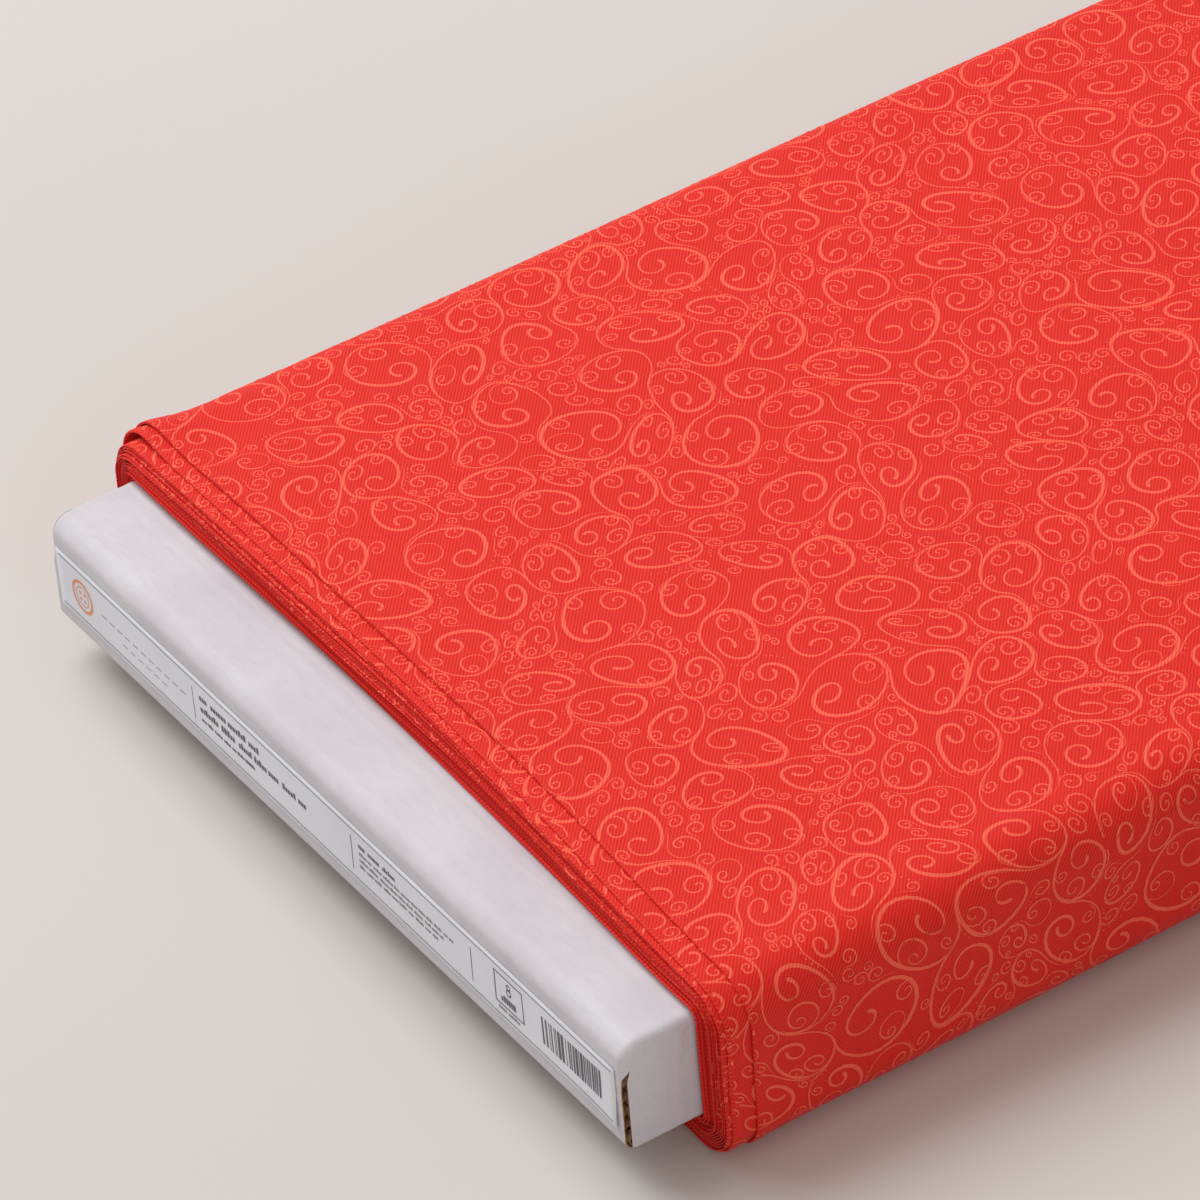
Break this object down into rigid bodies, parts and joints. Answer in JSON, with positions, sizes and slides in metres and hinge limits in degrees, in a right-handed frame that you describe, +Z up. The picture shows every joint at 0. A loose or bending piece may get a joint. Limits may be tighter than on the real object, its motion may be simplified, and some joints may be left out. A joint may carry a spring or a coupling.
{
  "type": "fabric bolt",
  "caption": "Red scroll-print quilting cotton, folded double and wound on a flat white corrugated bolt board whose labelled tuck end sticks out of the winding.",
  "frame": {"origin": "on the surface that the bolt lies on, under the middle of its overall box", "axes": "+Z up, +Y along the bolt away from the labelled end, +X towards the near long side; the cloth's free end hangs on the -X side"},
  "size_m": [0.2082, 0.5972, 0.0396],
  "materials": {
    "red_cotton": "plain-weave printed cotton, tone-on-tone scrolls, matte",
    "white_board": "white-lined corrugated board, matte, brown raw edges",
    "label_paper": "printed self-adhesive paper, satin"
  },
  "bodies": {
    "cloth": {"cloth_inner_turns": "red_cotton", "cloth_stepped_turn": "red_cotton", "cloth_outer_turn": "red_cotton"},
    "board": {"board_top_panel": "white_board", "board_bottom_panel": "white_board", "board_side_wall_near": "white_board", "board_side_wall_far": "white_board", "board_glue_flap": "white_board"},
    "label_end_flap": {"label_end_flap": "white_board", "end_label": "label_paper"},
    "label_end_tongue": {"label_end_tongue": "white_board"},
    "label_dust_flap_near": {"label_dust_flap_near": "white_board"},
    "label_dust_flap_far": {"label_dust_flap_far": "white_board"},
    "rear_end_flap": {"rear_end_flap": "white_board"},
    "rear_end_tongue": {"rear_end_tongue": "white_board"},
    "rear_dust_flap_near": {"rear_dust_flap_near": "white_board"},
    "rear_dust_flap_far": {"rear_dust_flap_far": "white_board"},
    "cloth_free_end": {"cloth_free_end": "red_cotton"}
  },
  "joints": [
    {"name": "board_slide", "type": "slide", "parent": "cloth", "child": "board", "axis": [0, -1, 0], "range_m": [0, 0.55]},
    {"name": "label_end_flap_hinge", "type": "hinge", "parent": "board", "child": "label_end_flap", "pos_m": [0, -0.29835, 0.0318], "axis": [-1, 0, 0], "range_deg": [0, 90]},
    {"name": "label_end_tongue_fold", "type": "hinge", "parent": "label_end_flap", "child": "label_end_tongue", "pos_m": [0, -0.29675, 0.0115], "axis": [1, 0, 0], "range_deg": [0, 67.5]},
    {"name": "label_dust_flap_near_hinge", "type": "hinge", "parent": "board", "child": "label_dust_flap_near", "pos_m": [0.09365, -0.29485, 0.0198], "axis": [0, 0, -1], "range_deg": [0, 75]},
    {"name": "label_dust_flap_far_hinge", "type": "hinge", "parent": "board", "child": "label_dust_flap_far", "pos_m": [-0.09365, -0.29485, 0.0198], "axis": [0, 0, 1], "range_deg": [0, 75]},
    {"name": "rear_end_flap_hinge", "type": "hinge", "parent": "board", "child": "rear_end_flap", "pos_m": [0, 0.29865, 0.0318], "axis": [1, 0, 0], "range_deg": [0, 90]},
    {"name": "rear_end_tongue_fold", "type": "hinge", "parent": "rear_end_flap", "child": "rear_end_tongue", "pos_m": [0, 0.29705, 0.0115], "axis": [-1, 0, 0], "range_deg": [0, 67.5]},
    {"name": "rear_dust_flap_near_hinge", "type": "hinge", "parent": "board", "child": "rear_dust_flap_near", "pos_m": [0.09365, 0.29515, 0.0198], "axis": [0, 0, 1], "range_deg": [0, 75]},
    {"name": "rear_dust_flap_far_hinge", "type": "hinge", "parent": "board", "child": "rear_dust_flap_far", "pos_m": [-0.09365, 0.29515, 0.0198], "axis": [0, 0, -1], "range_deg": [0, 75]},
    {"name": "cloth_free_end_lift", "type": "hinge", "parent": "cloth", "child": "cloth_free_end", "pos_m": [-0.10405, 0, 0.0296], "axis": [0, 1, 0], "range_deg": [0, 150]}
  ],
  "couplings": [
    {"joint": "label_end_tongue_fold", "follows": "label_end_flap_hinge", "ratio": 0.75},
    {"joint": "rear_end_tongue_fold", "follows": "rear_end_flap_hinge", "ratio": 0.75}
  ]
}
